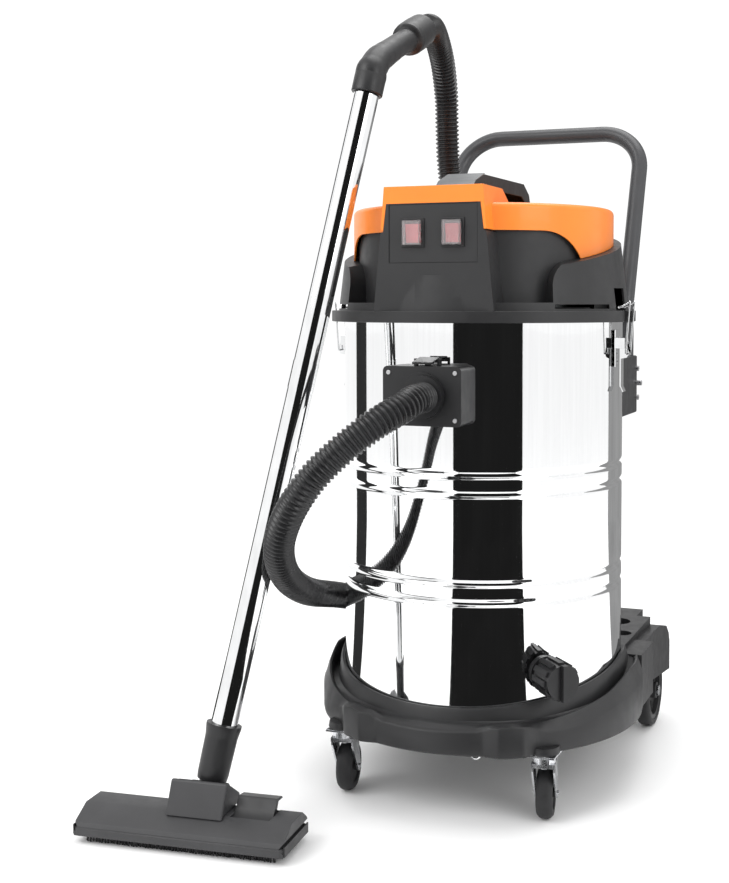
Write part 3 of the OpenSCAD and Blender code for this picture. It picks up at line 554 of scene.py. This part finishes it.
def at_tool(x, y, z):
    """A place in millimetres along, behind and above the floor tool's hinge, on the floor."""
    return TOOL_FOOT + (TOOL_ALONG * x + TOOL_BACK * y + Vector((0, 0, z))) * MM


def make_bristles():
    """Two rows of nylon tufts in their holders, each tuft splayed a little."""
    draw = random.Random(7)
    pieces = []
    for y in (-61.5, 3.5):
        corners = [at_tool(x, y + d, z) for x in (-156, 128) for d, z in
            ((-2.4, 10), (2.4, 10), (2.4, 18), (-2.4, 18))]
        pieces.append(new_piece("holder", corners, [(0, 1, 2, 3), (4, 5, 6, 7), (0, 1, 5, 4),
            (1, 2, 6, 5), (2, 3, 7, 6), (3, 0, 4, 7)]))
        for k in range(128):
            x = -154.5 + 2.2 * k
            row = -1.1 if k % 2 else 1.1
            lean_x, lean_y = draw.uniform(-0.9, 0.9), draw.uniform(-0.9, 0.9)
            tip = draw.uniform(0.2, 1.1)
            rings = []
            for z, r, share in ((12, 0.9, 0), (6, 1.15, 0.5), (tip, 1.3, 1)):
                rings.append([at_tool(x + lean_x * share + r * math.cos(math.tau * n / 6),
                    y + row + lean_y * share + r * math.sin(math.tau * n / 6), z) for n in range(6)])
            pieces.append(loft("tuft", rings))
    return dressed(joined("bristle_tufts", pieces), "tool_brushes")


def make_skirt():
    """The lower shell of the floor tool, which stands out under the seam."""
    rings = []
    for inset, z in ((-1.2, 11.5), (-1.2, 21.5), (-0.2, 22.6), (1.2, 22.6), (1.2, 11.5)):
        x0, x1, y0, y1 = -169 + inset, 141 - inset, -73 + inset, 21 - inset
        outline = ((x0 + 6, y0), (x1 - 6, y0), (x1, y0 + 6), (x1, y1 - 6), (x1 - 6, y1), (x0 + 6, y1),
            (x0, y1 - 6), (x0, y0 + 6))
        rings.append([at_tool(x, y, z) for x, y in outline])
    skirt = loft("tool_skirt", rings, loop=True)
    skirt.data.materials.append(TOOL_PLASTIC)
    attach(skirt, BODY_OF["tool_body"])


# Rounding of the edges of each moulding, in millimetres
ROUNDING = {
    "head_housing": 2.0, "top_cover": 3.0, "head_ring": 1.2, "trolley_base": 4.0,
    "inlet_box": 2.5, "lift_handle": 5.0, "lift_handle_plate": 0.8, "handle_brackets": 3.0,
    "tool_body": 2.0, "tool_hood": 3.0, "tool_pedal": 1.5, "tool_neck": 1.2,
    "caster_wheel_left": 0.8, "caster_wheel_right": 0.8, "drain_cap": 1.0,
    "rear_tyre_left": 1.5, "rear_tyre_right": 1.5, "switch_bezels": 0.8, "switch_panel": 0.8,
    "caster_fork_left": 0.7, "caster_fork_right": 0.7, "hose_cuff": 1.2, "rear_shelf": 4.0,
}
SMALL_ROUNDING = 0.35
# Flat rings, whose faces stay in triangles because a single face can't hold their middle open
KEEPS_TRIANGLES = ("head_ring",)


def skin(node):
    """The node's own shape with rounded edges."""
    mesh = NODES[node].data.copy()
    if "custom_normal" in mesh.attributes:
        mesh.attributes.remove(mesh.attributes["custom_normal"])
    work = bmesh.new()
    work.from_mesh(mesh)
    bmesh.ops.remove_doubles(work, verts=work.verts, dist=2e-6)
    if node not in KEEPS_TRIANGLES:
        flat = math.radians(0.4)
        bmesh.ops.dissolve_limit(work, angle_limit=flat, verts=work.verts, edges=work.edges)
    work.to_mesh(mesh)
    work.free()
    piece = bpy.data.objects.new(node + "_skin", mesh)
    bpy.context.scene.collection.objects.link(piece)
    shade(piece, 30)
    rounded(piece, ROUNDING.get(node, SMALL_ROUNDING) * MM, 3)
    return dressed(piece, node)


# ---------- studio ----------
def card(name, azimuth_from, azimuth_to, shade_of_grey, distance=2.6, near=0.42, high=2.8):
    """A card that shows only in reflections: out along the floor and then up, between two azimuths."""
    steps = 12
    side = [(near, 0.003), (distance, 0.003), (distance, high)]
    verts, faces = [], []
    for i in range(steps + 1):
        a = math.radians(azimuth_from + (azimuth_to - azimuth_from) * i / steps)
        outward = Vector((math.sin(a), -math.cos(a), 0))
        verts += [AXIS + outward * d + Vector((0, 0, z)) for d, z in side]
    for i in range(steps):
        for k in range(2):
            low, nxt = 3 * i + k, 3 * (i + 1) + k
            faces.append((low, nxt, nxt + 1, low + 1))
    piece = new_piece(name, verts, faces)
    material, tree, bsdf = shader(name)
    tone = two_tone(tree, noise(tree, 2, 2), tinted((shade_of_grey,) * 3, 0.9),
        tinted((shade_of_grey,) * 3, 1.1))
    tree.links.new(tone, bsdf.inputs["Emission Color"])
    bsdf.inputs["Emission Strength"].default_value = 1.0
    bsdf.inputs["Base Color"].default_value = (0, 0, 0, 1)
    bsdf.inputs["Roughness"].default_value = 1.0
    bsdf.inputs["Specular IOR Level"].default_value = 0.0
    piece.data.materials.append(material)
    piece.visible_camera = False
    piece.visible_diffuse = False
    piece.visible_shadow = False


def make_studio():
    floor = new_piece("floor", [(-30, -30, 0), (30, -30, 0), (30, 30, 0), (-30, 30, 0)], [(0, 1, 2, 3)])
    material, tree, bsdf = shader("pale floor")
    tree.links.new(two_tone(tree, noise(tree, 3, 4), (0.93, 0.93, 0.93), (0.95, 0.95, 0.95)),
        bsdf.inputs["Base Color"])
    bsdf.inputs["Roughness"].default_value = 0.75
    floor.data.materials.append(material)
    world = bpy.data.worlds.new("studio")
    world.use_nodes = True
    world.node_tree.nodes["Background"].inputs["Color"].default_value = (1, 1, 1, 1)
    world.node_tree.nodes["Background"].inputs["Strength"].default_value = 1.08
    bpy.context.scene.world = world
    bpy.context.scene.view_settings.view_transform = "Standard"
    for name, spot, size, energy in (
        ("key", (-1.6, -2.2, 2.6), 1.8, 42), ("fill", (2.4, -1.4, 1.8), 1.6, 18),
        ("top", (0.2, 0.4, 3.2), 2.0, 40)):
        light = bpy.data.objects.new(name, bpy.data.lights.new(name, "AREA"))
        bpy.context.scene.collection.objects.link(light)
        light.location = spot
        light.data.size = size
        light.data.energy = energy
        aim = AXIS + Vector((0, 0, 0.6)) - light.location
        light.rotation_euler = aim.to_track_quat("-Z", "Y").to_euler()
    card("dark card", CAMERA_AZIMUTH - 23, CAMERA_AZIMUTH + 30, 0.012)
    card("dark strip", CAMERA_AZIMUTH - 123, CAMERA_AZIMUTH - 106, 0.03)
    card("grey card", CAMERA_AZIMUTH + 119, CAMERA_AZIMUTH + 166, 0.32)


place_camera()
hose, hose_path, hose_length = make_hose()
make_grip()
make_tank()
make_push_handle()
make_filter()
make_base()
make_bristles()
make_skirt()
cuff = skin("hose_cuff")
wand = NODES["wand_tubes"]
wand.data.materials.clear()
wand.data.materials.append(MATERIALS["chrome"])
made = {"hose_cuff", "wand_tubes", "hose_tube", "hand_grip", "tank_shell", "push_handle",
    "filter_cloth", "trolley_base", "tool_brushes"}
for node_name in NODES:
    if node_name not in made:
        skin(node_name)

make_studio()
